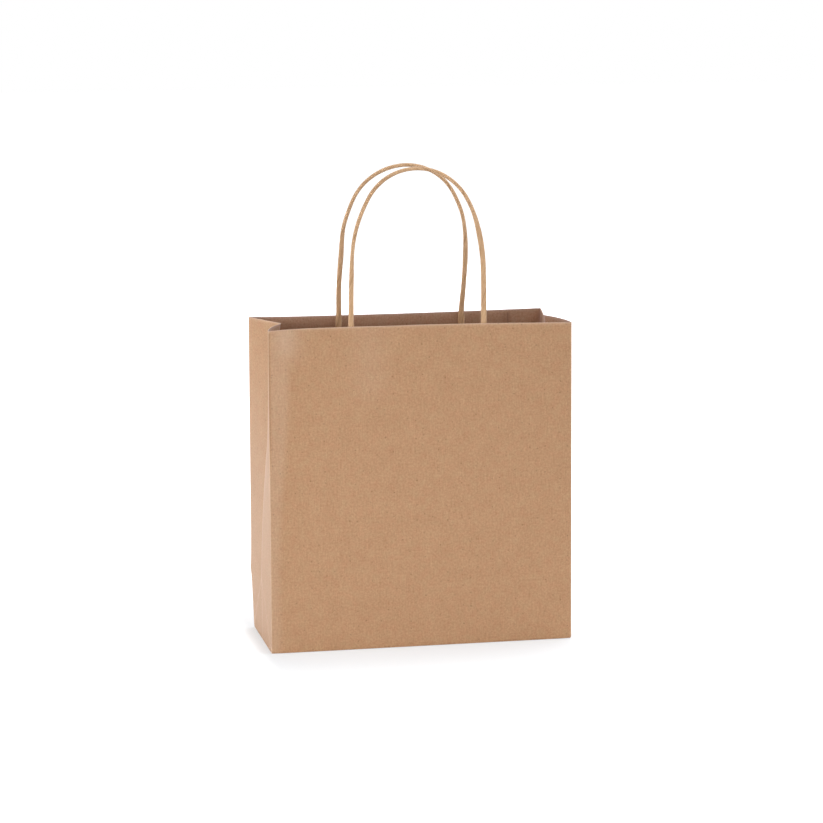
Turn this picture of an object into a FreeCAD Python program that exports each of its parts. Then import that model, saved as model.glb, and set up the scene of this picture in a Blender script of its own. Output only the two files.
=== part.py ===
import FreeCAD, Part
import math
import os
import Sketcher

# A block-bottom paper gift bag with two twisted-paper handles.
# One blank of kraft paper is creased into walls, gussets and a folded base.
# Each handle is a cord whose flattened ends are glued between two patches
# inside the rim.
#
# Frame, in millimetres: X along the front wall, Y from front to back,
# Z up, origin at the middle of the base where the bag stands.

SIZES = (
    # The blank and its folded size.
    ("bag_width", 220),
    ("bag_depth", 90),
    ("bag_height", 230),
    ("paper", 0.15),
    ("crease_gap", 0.05),
    # The mouth, where the walls bow inwards and the gussets fold in.
    ("front_rim_half", 108.8),
    ("back_rim_half", 109.6),
    ("rim_corner", 43.2),
    ("front_rim_middle", 28.5),
    ("back_rim_middle", 38.5),
    ("left_crease_in", 16.8),
    ("right_crease_in", 8.3),
    ("left_crease_radius", 1080),
    ("right_crease_radius", 2160),
    # The base flaps and the side seam.
    ("flap_length", 55),
    ("seam_width", 26),
    # The patches that hold the cords.
    ("patch_width", 152),
    ("patch_height", 40),
    ("patch_drop", 12),
    ("cover_room", 6),
    # The cord, round in the loop and pressed flat at its ends.
    ("cord_radius", 1.55),
    ("tail_half_width", 2.5),
    ("tail_half_thick", 1.1),
    ("tail_length", 38),
    ("tail_gap", 0.1),
    ("tail_room", 0.15),
    ("bend_start", 1),
    ("bend_end", 11.5),
    # The outline of each loop.
    ("front_middle", 0.2),
    ("front_leg_half", 47.9),
    ("front_straight", 38.1),
    ("front_side_radius", 110.5),
    ("front_crown_radius", 40.3),
    ("front_lean", 0),
    ("back_middle", 1.8),
    ("back_leg_half", 46.3),
    ("back_straight", 49.3),
    ("back_side_radius", 87.5),
    ("back_crown_radius", 41.6),
    ("back_lean", 9),
)

HALF_WIDTH = "Sizes.bag_width / 2"
HALF_DEPTH = "Sizes.bag_depth / 2"
HEIGHT = "Sizes.bag_height"
PAPER = "Sizes.paper"
GAP = "Sizes.crease_gap"
INSIDE_X = f"({HALF_WIDTH} - {PAPER} - {GAP})"
INSIDE_Y = f"({HALF_DEPTH} - {PAPER} - {GAP})"
BASE_LAYERS = 5

# front is -1 and back is +1 along Y; left is -1 and right is +1 along X.
SIDES = {"front": -1, "back": 1}
ENDS = {"left": -1, "right": 1}

doc = FreeCAD.newDocument("GiftBag")
sheet = doc.addObject("Spreadsheet::Sheet", "Sizes")
for row, (alias, value) in enumerate(SIZES, start=1):
    sheet.set(f"A{row}", alias)
    sheet.set(f"B{row}", str(value))
    sheet.setAlias(f"B{row}", alias)
doc.recompute()

nodes = []


def value_of(expression):
    """The number that an expression gives with the present sizes."""
    result = sheet.evalExpression(expression.replace("Sizes.", ""))
    return float(getattr(result, "Value", result))


def bind(item, **expressions):
    """Binds properties to expressions; an underscore pair stands for a dot."""
    for name, expression in expressions.items():
        item.setExpression(name.replace("__", "."), expression)


def finished(item, label):
    """Names a sub-part and adds it to those that are exported."""
    item.Label = label
    nodes.append(item)
    return item


def sketch_on(body, plane, name, offset="0"):
    """A sketch on one of the body's own planes, raised by offset."""
    sketch = body.newObject("Sketcher::SketchObject", name)
    role = f"{plane}_Plane"
    support = [item for item in body.Origin.OriginFeatures if item.Role == role][0]
    sketch.AttachmentSupport = [(support, "")]
    sketch.MapMode = "FlatFace"
    sketch.setExpression("AttachmentOffset.Base.z", offset)
    return sketch


def pin(sketch, edge, end, x, y):
    """Holds one end of a sketch edge at the point given by two expressions."""
    for kind, expression in (("DistanceX", x), ("DistanceY", y)):
        number = value_of(expression)
        index = sketch.addConstraint(Sketcher.Constraint(kind, edge, end, number))
        sketch.setExpression(f"Constraints[{index}]", expression)


def draw_outline(sketch, corners):
    """A closed outline of straight edges through pinned corners."""
    points = [FreeCAD.Vector(value_of(x), value_of(y), 0) for x, y in corners]
    count = len(points)
    for index in range(count):
        edge = Part.LineSegment(points[index], points[(index + 1) % count])
        sketch.addGeometry(edge)
    for index in range(count):
        joined = Sketcher.Constraint("Coincident", index, 2, (index + 1) % count, 1)
        sketch.addConstraint(joined)
    for index, (x, y) in enumerate(corners):
        pin(sketch, index, 1, x, y)


def draw_rim_band(sketch, side, near, far):
    """The rim seen from above: two parallel arcs, near and far inside the wall."""
    name = "front" if side < 0 else "back"
    half = f"Sizes.{name}_rim_half"
    middle = f"Sizes.{name}_rim_middle"
    sag = f"(Sizes.rim_corner - {middle})"
    radius = f"(({half} ^ 2 + {sag} ^ 2) / (2 * {sag}))"
    reach = value_of(half)
    turn = math.acos(reach / value_of(radius))
    middle_turn = -side * math.pi / 2
    spread = math.pi / 2 - turn
    for inset in (near, far):
        hub_y = value_of(f"{side} * ({middle} - {inset} + {radius})")
        hub = FreeCAD.Vector(0, hub_y, 0)
        circle = Part.Circle(hub, FreeCAD.Vector(0, 0, 1), value_of(radius))
        arc = Part.ArcOfCircle(circle, middle_turn - spread, middle_turn + spread)
        sketch.addGeometry(arc)
    starts = [sketch.Geometry[index].StartPoint for index in range(2)]
    ends = [sketch.Geometry[index].EndPoint for index in range(2)]
    sketch.addGeometry(Part.LineSegment(starts[0], starts[1]))
    sketch.addGeometry(Part.LineSegment(ends[0], ends[1]))
    for arc, inset in enumerate((near, far)):
        depth = f"{side} * (Sizes.rim_corner - {inset})"
        pin(sketch, arc, 1, f"{-side} * {half}", depth)
        pin(sketch, arc, 2, f"{side} * {half}", depth)
        index = sketch.addConstraint(Sketcher.Constraint("Radius", arc, value_of(radius)))
        sketch.setExpression(f"Constraints[{index}]", radius)
        sketch.addConstraint(Sketcher.Constraint("Coincident", 2, arc + 1, arc, 1))
        sketch.addConstraint(Sketcher.Constraint("Coincident", 3, arc + 1, arc, 2))


def wall_layer(name, side, near, far):
    """A sheet that is straight along the base and bowed inwards at the rim.

    near and far are its two faces' distances inside the wall's outer face.
    """
    body = doc.addObject("PartDesign::Body", name)
    foot = sketch_on(body, "XY", f"{name}_foot")
    outer = f"{side} * ({HALF_DEPTH} - {near})"
    inner = f"{side} * ({HALF_DEPTH} - {far})"
    reach = HALF_WIDTH
    draw_outline(foot, ((f"-{reach}", outer), (reach, outer), (reach, inner), (f"-{reach}", inner)))
    rim = sketch_on(body, "XY", f"{name}_rim", HEIGHT)
    draw_rim_band(rim, side, near, far)
    loft = body.newObject("PartDesign::AdditiveLoft", f"{name}_sheet")
    loft.Profile = foot
    loft.Sections = [rim]
    loft.Ruled = True
    return body


def block(name, low, high):
    """A box between two corners, each given as three expressions."""
    box = doc.addObject("Part::Box", name)
    bind(
        box,
        Length=f"({high[0]}) - ({low[0]})",
        Width=f"({high[1]}) - ({low[1]})",
        Height=f"({high[2]}) - ({low[2]})",
        Placement__Base__x=low[0],
        Placement__Base__y=low[1],
        Placement__Base__z=low[2],
    )
    return box


def shared(name, first, second):
    """What two shapes have in common."""
    common = doc.addObject("Part::MultiCommon", name)
    common.Shapes = [first, second]
    return common


def straight_edge(name, start, end):
    """A straight line between two points given as expressions."""
    line = doc.addObject("Part::Line", name)
    for number, point in ((1, start), (2, end)):
        for axis, expression in zip("XYZ", point):
            line.setExpression(f"{axis}{number}", expression)
    return line


def centre_crease(end_name, end):
    """The gusset's centre crease: an arc that leans into the bag as it rises."""
    sketch = doc.addObject("Sketcher::SketchObject", f"{end_name}_crease")
    sketch.Placement.Rotation = FreeCAD.Rotation(FreeCAD.Vector(1, 0, 0), 90)
    bottom = (f"{end} * {HALF_WIDTH}", HALF_DEPTH)
    top = (f"{end} * ({HALF_WIDTH} - Sizes.{end_name}_crease_in)", HEIGHT)
    radius = f"Sizes.{end_name}_crease_radius"
    # An arc in a sketch runs anticlockwise, so the left crease is drawn downwards.
    first, last = (top, bottom) if end < 0 else (bottom, top)
    start = FreeCAD.Vector(value_of(first[0]), value_of(first[1]), 0)
    stop = FreeCAD.Vector(value_of(last[0]), value_of(last[1]), 0)
    chord = stop - start
    full = value_of(radius)
    sag = full - math.sqrt(full**2 - (chord.Length / 2) ** 2)
    bulge = FreeCAD.Vector(chord.y, -chord.x, 0).normalize() * sag
    sketch.addGeometry(Part.Arc(start, (start + stop) / 2 + bulge, stop))
    pin(sketch, 0, 1, *first)
    pin(sketch, 0, 2, *last)
    index = sketch.addConstraint(Sketcher.Constraint("Radius", 0, value_of(radius)))
    sketch.setExpression(f"Constraints[{index}]", radius)
    return sketch


def gusset_half(end_name, end, side_name, side, crease, seam_layers):
    """Half a gusset, from a corner of the bag to the centre crease.

    Its lower end runs along the diagonal crease from the bottom corner.
    """
    label = f"{end_name}_gusset_{side_name}"
    inset = f"({seam_layers + 1} * {PAPER} + {GAP})"
    low_y = f"{side} * ({HALF_DEPTH} - {inset})"
    top_x = f"{end} * Sizes.{side_name}_rim_half"
    top_y = f"{side} * (Sizes.rim_corner - {inset})"
    corner = straight_edge(
        f"{label}_corner", (f"{end} * {HALF_WIDTH}", low_y, "0"), (top_x, top_y, HEIGHT)
    )
    face = doc.addObject("Part::RuledSurface", f"{label}_face")
    face.Curve1 = (corner, ["Edge1"])
    face.Curve2 = (crease, ["Edge1"])
    sheet_half = doc.addObject("Part::Extrusion", label)
    sheet_half.Base = face
    sheet_half.DirMode = "Custom"
    sheet_half.Dir = FreeCAD.Vector(-end, 0, 0)
    sheet_half.Solid = True
    bind(sheet_half, LengthFwd=PAPER)
    return finished(sheet_half, label)


def gusset_foot(end_name, end, seam_layers):
    """The upright triangle between the two diagonal creases."""
    body = doc.addObject("PartDesign::Body", f"{end_name}_gusset_foot")
    start = f"{end} * {HALF_WIDTH}"
    outline = sketch_on(body, "YZ", f"{end_name}_foot_outline", start)
    front = f"-({HALF_DEPTH} - {PAPER} - {GAP})"
    back = f"{HALF_DEPTH} - {seam_layers + 1} * {PAPER} - {GAP}"
    draw_outline(outline, ((front, "0"), (back, "0"), ("0", HALF_DEPTH)))
    pad = body.newObject("PartDesign::Pad", f"{end_name}_foot_sheet")
    pad.Profile = outline
    pad.Reversed = end > 0
    bind(pad, Length=PAPER)
    return finished(body, f"{end_name}_gusset_foot")


def base_flap(side_name, side, level):
    """A main base flap with its two corners tucked under it along the diagonals."""
    body = doc.addObject("PartDesign::Body", f"{side_name}_bottom_flap")
    edge_y = f"{side} * {INSIDE_Y}"
    tip_y = f"{side} * ({HALF_DEPTH} - Sizes.flap_length)"
    tip_x = f"({INSIDE_X} - ({INSIDE_Y} - {HALF_DEPTH} + Sizes.flap_length))"
    main = sketch_on(body, "XY", f"{side_name}_flap_outline", f"{level} * {PAPER}")
    corners = (
        (f"-{INSIDE_X}", edge_y),
        (INSIDE_X, edge_y),
        (tip_x, tip_y),
        (f"-{tip_x}", tip_y),
    )
    draw_outline(main, corners)
    pad = body.newObject("PartDesign::Pad", f"{side_name}_flap_sheet")
    pad.Profile = main
    bind(pad, Length=PAPER)
    for end_name, end in ENDS.items():
        tuck = sketch_on(body, "XY", f"{side_name}_{end_name}_tuck", f"{level + 1} * {PAPER}")
        corner = (f"{end} * {INSIDE_X}", edge_y)
        tip = (f"{end} * {tip_x}", tip_y)
        under = (f"{end} * {tip_x}", edge_y)
        draw_outline(tuck, (corner, tip, under))
        fold = body.newObject("PartDesign::Pad", f"{side_name}_{end_name}_tuck_sheet")
        fold.Profile = tuck
        bind(fold, Length=PAPER)
    return finished(body, f"{side_name}_bottom_flap")


def end_flap(end_name, end):
    """The flap that a gusset turns into, flat inside the base."""
    body = doc.addObject("PartDesign::Body", f"{end_name}_end_flap")
    level = BASE_LAYERS - 1
    outline = sketch_on(body, "XY", f"{end_name}_end_outline", f"{level} * {PAPER}")
    outer = f"{end} * {INSIDE_X}"
    inner = f"{end} * ({HALF_WIDTH} - Sizes.flap_length)"
    corners = (
        (outer, f"-{INSIDE_Y}"),
        (inner, f"-{INSIDE_Y}"),
        (inner, INSIDE_Y),
        (outer, INSIDE_Y),
    )
    draw_outline(outline, corners)
    pad = body.newObject("PartDesign::Pad", f"{end_name}_end_sheet")
    pad.Profile = outline
    bind(pad, Length=PAPER)
    return finished(body, f"{end_name}_end_flap")


class Handle:
    """Expressions that place one handle on its wall."""

    def __init__(self, name, side):
        size = f"Sizes.{name}_"
        sag = f"(Sizes.rim_corner - {size}rim_middle)"
        radius = f"(({size}rim_half ^ 2 + {sag} ^ 2) / (2 * {sag}))"
        self.name = name
        self.side = side
        self.middle = f"{size}middle"
        self.leg = f"{size}leg_half"
        self.straight = f"{size}straight"
        self.side_radius = f"{size}side_radius"
        self.crown_radius = f"{size}crown_radius"
        self.lean = f"{size}lean"
        self.lean_sine = f"sin({size}lean * 1 deg)"
        # The wall's outer face at the rim, where the nearer leg of the two meets it.
        across = f"({self.leg} - {self.middle})"
        self.wall = f"({size}rim_middle + {radius} - sqrt({radius} ^ 2 - {across} ^ 2))"
        self.slope = f"(({HALF_DEPTH} - {self.wall}) / {HEIGHT})"
        # The cord's centre at the rim, lying on the base patch.
        self.depth = f"({self.wall} - 2 * {PAPER} - Sizes.tail_gap - Sizes.tail_half_thick)"

    def leg_x(self, end):
        return f"{self.middle} + {end} * {self.leg}"

    def tail_y(self, height):
        """The flattened cord's centre, at a height measured from the rim."""
        return f"{self.side} * ({self.depth} - {self.slope} * ({height}))"


def oval_tail(name, handle, end, grow, low, high):
    """An oval rod that runs down the wall's inner face between two heights."""
    oval = doc.addObject("Part::Ellipse", f"{name}_section")
    bind(
        oval,
        MajorRadius=f"Sizes.tail_half_width + {grow}",
        MinorRadius=f"Sizes.tail_half_thick + {grow}",
        Placement__Base__x=handle.leg_x(end),
        Placement__Base__y=handle.tail_y(low),
        Placement__Base__z=f"{HEIGHT} + {low}",
    )
    rod = doc.addObject("Part::Extrusion", name)
    rod.Base = oval
    rod.DirMode = "Custom"
    rod.Dir = FreeCAD.Vector(0, 0, 1)
    rod.Solid = True
    bind(
        rod,
        Dir__y=f"{-handle.side} * {handle.slope}",
        LengthFwd=f"({high} - ({low})) * sqrt(1 + {handle.slope} ^ 2)",
    )
    return rod


def cord_tail(handle, end_name, end):
    """The flattened end of a cord, glued between the two patches."""
    label = f"{handle.name}_cord_tail_{end_name}"
    low = "-(Sizes.patch_drop + Sizes.tail_length)"
    return finished(oval_tail(label, handle, end, "0", low, "Sizes.bend_start"), label)


def cord_bend(handle, end_name, end):
    """The short length above the rim where the cord bends, oval to round."""
    label = f"{handle.name}_cord_bend_{end_name}"
    lower = doc.addObject("Part::Ellipse", f"{label}_lower")
    bind(
        lower,
        MajorRadius="Sizes.tail_half_width",
        MinorRadius="Sizes.tail_half_thick",
        Placement__Base__x=handle.leg_x(end),
        Placement__Base__y=handle.tail_y("Sizes.bend_start"),
        Placement__Base__z=f"{HEIGHT} + Sizes.bend_start",
    )
    upper = doc.addObject("Part::Circle", f"{label}_upper")
    upper.Placement.Rotation = FreeCAD.Rotation(FreeCAD.Vector(1, 0, 0), 1)
    bind(
        upper,
        Radius="Sizes.cord_radius",
        Placement__Base__x=handle.leg_x(end),
        Placement__Base__y=f"{handle.side} * ({handle.depth} - Sizes.bend_end * {handle.lean_sine})",
        Placement__Base__z=f"{HEIGHT} + Sizes.bend_end * cos({handle.lean} * 1 deg)",
        Placement__Rotation__Angle=f"{handle.side} * {handle.lean}",
    )
    length = doc.addObject("Part::Loft", label)
    length.Sections = [lower, upper]
    length.Solid = True
    length.Ruled = True
    return finished(length, label)


def cord_loop(handle):
    """The loop that the hand holds: two legs, two long arcs and a crown."""
    label = f"{handle.name}_cord_loop"
    body = doc.addObject("PartDesign::Body", label)
    leg = value_of(handle.leg)
    straight = value_of(handle.straight)
    start = value_of("Sizes.bend_end")
    long_radius = value_of(handle.side_radius)
    short_radius = value_of(handle.crown_radius)
    across = long_radius - leg
    rise = math.sqrt((long_radius - short_radius) ** 2 - across**2)
    turn = math.atan2(rise, across)

    path = sketch_on(body, "XZ", f"{label}_path")
    foot = FreeCAD.Vector(leg, start, 0)
    knee = FreeCAD.Vector(leg, straight, 0)
    hub = FreeCAD.Vector(-across, straight, 0)
    crown = FreeCAD.Vector(0, straight + rise, 0)
    up = FreeCAD.Vector(0, 0, 1)

    def mirrored(point):
        return FreeCAD.Vector(-point.x, point.y, 0)

    right_side = Part.ArcOfCircle(Part.Circle(hub, up, long_radius), 0, turn)
    top = Part.ArcOfCircle(Part.Circle(crown, up, short_radius), turn, math.pi - turn)
    left_side = Part.ArcOfCircle(
        Part.Circle(mirrored(hub), up, long_radius), math.pi - turn, math.pi
    )
    sketch_edges = (
        Part.LineSegment(foot, knee),
        right_side,
        top,
        left_side,
        Part.LineSegment(mirrored(knee), mirrored(foot)),
    )
    for edge in sketch_edges:
        path.addGeometry(edge)
    for index in range(4):
        path.addConstraint(Sketcher.Constraint("Tangent", index, 2, index + 1, 1))
    pin(path, 0, 1, handle.leg, "Sizes.bend_end")
    pin(path, 0, 2, handle.leg, handle.straight)
    pin(path, 4, 2, f"-{handle.leg}", "Sizes.bend_end")
    for edge, size in ((1, handle.side_radius), (2, handle.crown_radius), (3, handle.side_radius)):
        index = path.addConstraint(Sketcher.Constraint("Radius", edge, value_of(size)))
        path.setExpression(f"Constraints[{index}]", size)

    section = sketch_on(body, "XY", f"{label}_section", "Sizes.bend_end")
    radius = value_of("Sizes.cord_radius")
    section.addGeometry(Part.Circle(FreeCAD.Vector(leg, 0, 0), up, radius))
    pin(section, 0, 3, handle.leg, "0")
    index = section.addConstraint(Sketcher.Constraint("Radius", 0, radius))
    section.setExpression(f"Constraints[{index}]", "Sizes.cord_radius")

    pipe = body.newObject("PartDesign::AdditivePipe", f"{label}_cord")
    pipe.Profile = section
    pipe.Spine = (path, [""])
    body.Placement.Rotation = FreeCAD.Rotation(FreeCAD.Vector(1, 0, 0), 1)
    bind(
        body,
        Placement__Base__x=handle.middle,
        Placement__Base__y=f"{handle.side} * {handle.depth}",
        Placement__Base__z=HEIGHT,
        Placement__Rotation__Angle=f"{handle.side} * {handle.lean}",
    )
    return finished(body, label)


def patches(handle, second_layer):
    """The two paper patches: one flat on the wall, one draped over the cord ends."""
    name = handle.name
    reach = "Sizes.patch_width / 2"
    window = block(
        f"{name}_patch_window",
        (f"{handle.middle} - {reach}", f"-{HALF_DEPTH}", f"{HEIGHT} - Sizes.patch_drop - Sizes.patch_height"),
        (f"{handle.middle} + {reach}", HALF_DEPTH, f"{HEIGHT} - Sizes.patch_drop"),
    )
    base = shared(f"{name}_patch_base", second_layer, window)
    finished(base, f"{name}_patch_base")

    room = wall_layer(f"{name}_cover_room", handle.side, f"2 * {PAPER}", "Sizes.cover_room")
    flat = wall_layer(f"{name}_cover_flat", handle.side, f"2 * {PAPER}", f"3 * {PAPER}")
    low = "-(Sizes.patch_drop + Sizes.patch_height + 1)"
    outsides = []
    insides = []
    for end_name, end in ENDS.items():
        grown = f"Sizes.tail_room + {PAPER}"
        label = f"{name}_{end_name}_ridge"
        outsides.append(oval_tail(f"{label}_outside", handle, end, grown, low, "0"))
        insides.append(oval_tail(f"{label}_inside", handle, end, "Sizes.tail_room", low, "0"))
    whole = doc.addObject("Part::MultiFuse", f"{name}_cover_whole")
    whole.Shapes = [flat] + outsides
    on_wall = shared(f"{name}_cover_on_wall", whole, room)
    trimmed = shared(f"{name}_cover_trimmed", on_wall, window)
    hollow = doc.addObject("Part::MultiFuse", f"{name}_cover_hollow")
    hollow.Shapes = insides
    cover = doc.addObject("Part::Cut", f"{name}_patch_cover")
    cover.Base = trimmed
    cover.Tool = hollow
    return base, finished(cover, f"{name}_patch_cover")


# Walls and the glued seam.
second_layers = {}
for side_name, side in SIDES.items():
    finished(wall_layer(f"{side_name}_wall", side, "0", PAPER), f"{side_name}_panel")
    second_layers[side_name] = wall_layer(f"{side_name}_second_layer", side, PAPER, f"2 * {PAPER}")
seam_window = block(
    "seam_window",
    (f"{HALF_WIDTH} - Sizes.seam_width", "0", f"{BASE_LAYERS} * {PAPER} + {GAP}"),
    (HALF_WIDTH, HALF_DEPTH, HEIGHT),
)
finished(shared("seam_flap", second_layers["back"], seam_window), "seam_flap")

# Gussets. The seam flap thickens the back right corner by one layer.
for end_name, end in ENDS.items():
    crease = centre_crease(end_name, end)
    for side_name, side in SIDES.items():
        seam_layers = 1 if (end_name, side_name) == ("right", "back") else 0
        gusset_half(end_name, end, side_name, side, crease, seam_layers)
    gusset_foot(end_name, end, 1 if end_name == "right" else 0)

# The folded base: the back flap is outermost, then the front flap, then the end flaps.
base_flap("back", 1, 0)
base_flap("front", -1, 2)
for end_name, end in ENDS.items():
    end_flap(end_name, end)

# Handles and the patches that hold them.
for side_name, side in SIDES.items():
    handle = Handle(side_name, side)
    patches(handle, second_layers[side_name])
    for end_name, end in ENDS.items():
        cord_tail(handle, end_name, end)
        cord_bend(handle, end_name, end)
    cord_loop(handle)

doc.recompute()
for item in doc.Objects:
    if "Invalid" in item.State or "Error" in item.State:
        raise RuntimeError(f"{item.Name} did not build: {item.State}")
for node in nodes:
    if node.Shape.isNull() or not node.Shape.isValid() or len(node.Shape.Solids) != 1:
        raise RuntimeError(f"{node.Label} is not one valid solid")

os.makedirs("parts", exist_ok=True)
for node in nodes:
    node.Shape.exportStep(f"parts/{node.Label}.step")
    print(node.Label, round(node.Shape.Volume, 1), "mm3")
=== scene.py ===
"""A plain kraft paper gift bag with twisted paper handles, finished round its CAD frame.

Shapes are worked out in millimetres and turned to metres where a mesh is made.
Places on the flat sheet are (u, v): u runs round the bag from the back wall's glued
edge, v runs up from the base crease.
"""
import math

import bpy
import numpy as np
from mathutils import Matrix, Vector, noise


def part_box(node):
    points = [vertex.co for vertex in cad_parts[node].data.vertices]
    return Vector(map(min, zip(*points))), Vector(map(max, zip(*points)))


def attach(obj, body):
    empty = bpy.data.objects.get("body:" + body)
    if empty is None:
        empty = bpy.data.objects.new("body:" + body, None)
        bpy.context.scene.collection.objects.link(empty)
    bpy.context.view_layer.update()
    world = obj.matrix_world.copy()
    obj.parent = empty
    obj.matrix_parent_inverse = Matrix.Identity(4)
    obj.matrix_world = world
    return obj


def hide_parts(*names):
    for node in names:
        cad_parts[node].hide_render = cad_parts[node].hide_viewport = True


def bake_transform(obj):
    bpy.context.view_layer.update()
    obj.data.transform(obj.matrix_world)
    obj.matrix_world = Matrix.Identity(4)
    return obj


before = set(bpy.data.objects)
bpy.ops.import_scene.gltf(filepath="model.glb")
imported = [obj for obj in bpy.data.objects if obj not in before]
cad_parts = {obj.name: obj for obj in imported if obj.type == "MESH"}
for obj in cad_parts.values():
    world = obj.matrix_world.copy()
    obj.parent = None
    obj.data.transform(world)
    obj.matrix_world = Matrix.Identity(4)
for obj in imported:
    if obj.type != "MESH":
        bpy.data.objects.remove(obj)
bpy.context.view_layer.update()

MM = 1000.0     # millimetres in a metre


# ---------------------------------------------------------------- sizes

def corners_of(node):
    """A frame node's lowest and highest corners in millimetres."""
    low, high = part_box(node)
    return np.array(low) * MM, np.array(high) * MM


front_low, front_high = corners_of("front_panel")
HALF_WIDTH = front_high[0]
HALF_DEPTH = -front_low[1]
HEIGHT = front_high[2]
WIDTH = 2 * HALF_WIDTH
DEPTH = 2 * HALF_DEPTH
SEAM_END = corners_of("seam_flap")[0][0]    # x of the seam flap's free edge
SEAM_LAP = HALF_WIDTH - SEAM_END
PATCH_FOOT = corners_of("front_patch_cover")[0][2]

PAPER = 0.2                 # one thickness of 110 g kraft, edge fibres included
CREASE_SETBACK = 0.8        # how far a folded corner's rounding reaches along each wall
CREASE_HALF = 0.7           # how much of the flat sheet a crease takes on either side
SHOULDER = 0.55             # how far a wall is drawn in beside a corner crease
SHOULDER_REACH = 4.0
BACK_EDGE_GAP = 1.4         # the back wall's glued edge stops short of the corner
SEAM_GLUE = 0.12            # between the back wall and the seam flap
CORNER_LIP = 0.02           # how far a corner crease stands out past the wall beside it

# The foot: the wall leans in as it nears the floor, turns under and is tucked in.
BASE_CREASE_DROP = 2.6      # the lean starts this far above the floor
FOOT_LEAN = 0.3
BASE_ROUND = 0.55           # radius of the turn itself
FOOT_SQUEEZE = 0.3          # rows below the turn's radius keep this share of their way to it
TUCK = 1.2                  # how far the tucked edge goes on inwards
TUCK_HEIGHT = 0.5           # it ends above the base flaps
TURNED_ROWS = (-2.2, -1.0, -0.7, -0.4, -0.2)    # v of the tucked edge and the turn's rows

# Each gusset's centre crease: where it starts, as the base folds there, how far it stands
# in at the foot and at the rim, and how its way in curves.
GUSSET_START = HALF_DEPTH
CREST_IN_AT_FOOT = 0.7
LEFT_CREST_IN = corners_of("left_gusset_front")[1][0] + HALF_WIDTH
RIGHT_CREST_IN = HALF_WIDTH - corners_of("right_gusset_front")[0][0]
CREST_CURVE = 1.8
CREST_ROUNDING = 3.0 / 17   # its rounding grows by this for each millimetre that it stands in

# At the rim: how far the crease stands behind the bag's middle, and how far the gusset's
# two halves swell, in the order that the sheet runs round the bag.
LEFT_CREST_BACK = 1.0
RIGHT_CREST_BACK = 4.0
LEFT_SWELLS = (0.1, 2.4)
RIGHT_SWELLS = (2.8, 0.2)

# How far each upright corner stands inside the bag's end: (height, distance).
CORNERS_IN = {
    "front_left": ((0, 0.1), (HEIGHT, 0.9)),
    "front_right": ((0, 0.0), (HEIGHT, 0.1)),
    "back_right": ((0, 0.0), (HEIGHT, -0.1)),
    "back_left": ((0, 1.9), (HALF_DEPTH, 0.4), (HEIGHT, 0.8)),
}
BACK_KINK = 0.5             # the back left corner is bent out at the top of the foot
BACK_KINK_REACH = 6.0

# Where the rims run, seen from above, as the control points of a smooth line.
FRONT_RIM = ((-109.0, -42.0), (-93.0, -32.6), (-62.0, -31.0), (5.0, -30.4), (62.0, -34.6), (109.8, -44.4))
BACK_RIM = ((-109.2, 47.0), (-94.0, 41.4), (-40.0, 39.2), (20.0, 39.4), (62.0, 42.4), (110.0, 47.2))
LINE_STEPS = 24             # points worked out for each piece of a smooth line

# The front wall's middle bows in later than its ends as it rises. It swells between the
# stiff glued cord ends: x, reach, height.
MIDDLE_LAG = 0.3
CORNER_REACH = 40.0
FRONT_SWELLS = ((-86.0, 13.0, 0.45), (-20.0, 16.0, 1.4), (27.0, 11.0, 0.25), (78.0, 16.0, 0.2))
SWELLS_RISE = (PATCH_FOOT - 14, PATCH_FOOT + 6)     # heights between which they come up

# A crease of the flat-folded bag crosses the back wall at half the depth.
BACK_CREASE = 0.9
BACK_CREASE_REACH = 14.0

# Both walls are a little uneven: how much, the size of the waves and which pattern of many.
FRONT_UNEVEN, FRONT_WAVE, FRONT_PATTERN = 0.35, 46.0, 3.1
BACK_UNEVEN, BACK_WAVE, BACK_PATTERN = 0.5, 52.0, 8.7
BACK_UNEVEN_FROM = 30.0     # the back wall is flatter below this height


def smooth_line(points):
    """Depth along a wall, from a clamped quadratic B-spline through few points."""
    points = np.array(points)
    inner = [(points[i] + points[i + 1]) / 2 for i in range(1, len(points) - 2)]
    knots = [points[0]] + inner + [points[-1]]
    t = np.linspace(0, 1, LINE_STEPS, endpoint=False)[:, None]
    pieces = [
        (1 - t) ** 2 * knots[i] + 2 * t * (1 - t) * points[i + 1] + t**2 * knots[i + 1]
        for i in range(len(knots) - 1)
    ]
    line = np.vstack(pieces + [points[-1:]])
    return lambda x: np.interp(x, line[:, 0], line[:, 1])


front_rim = smooth_line(FRONT_RIM)
back_rim = smooth_line(BACK_RIM)


def step(value, start, end):
    """Rises smoothly from 0 at start to 1 at end."""
    t = np.clip((value - start) / (end - start), 0, 1)
    return t * t * (3 - 2 * t)


def bell(away, reach):
    """Falls smoothly from 1 at its middle to almost 0 at twice its reach."""
    return np.exp(-((away / reach) ** 2))


def waves(u, v, size, seed):
    """Slow, even unevenness of the sheet, about -1 to 1, over patches of the given size."""
    u, v = np.broadcast_arrays(u, v)
    flat = [noise.noise(Vector((a / size, b / size, seed))) for a, b in zip(u.ravel(), v.ravel())]
    return np.array(flat).reshape(u.shape)


# ---------------------------------------------------------------- the folded sheet

def front_depth(x, z):
    """Where the front wall's outer face stands."""
    lift = z / HEIGHT
    middle = step(np.abs(x), HALF_WIDTH, HALF_WIDTH - CORNER_REACH)
    depth = -HALF_DEPTH + (front_rim(x) + HALF_DEPTH) * lift ** (1 + MIDDLE_LAG * middle)
    glued = step(z, *SWELLS_RISE)
    for place, reach, height in FRONT_SWELLS:
        depth = depth - height * glued * bell(x - place, reach)
    return depth - FRONT_UNEVEN * waves(x, z, FRONT_WAVE, FRONT_PATTERN) * lift


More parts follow.
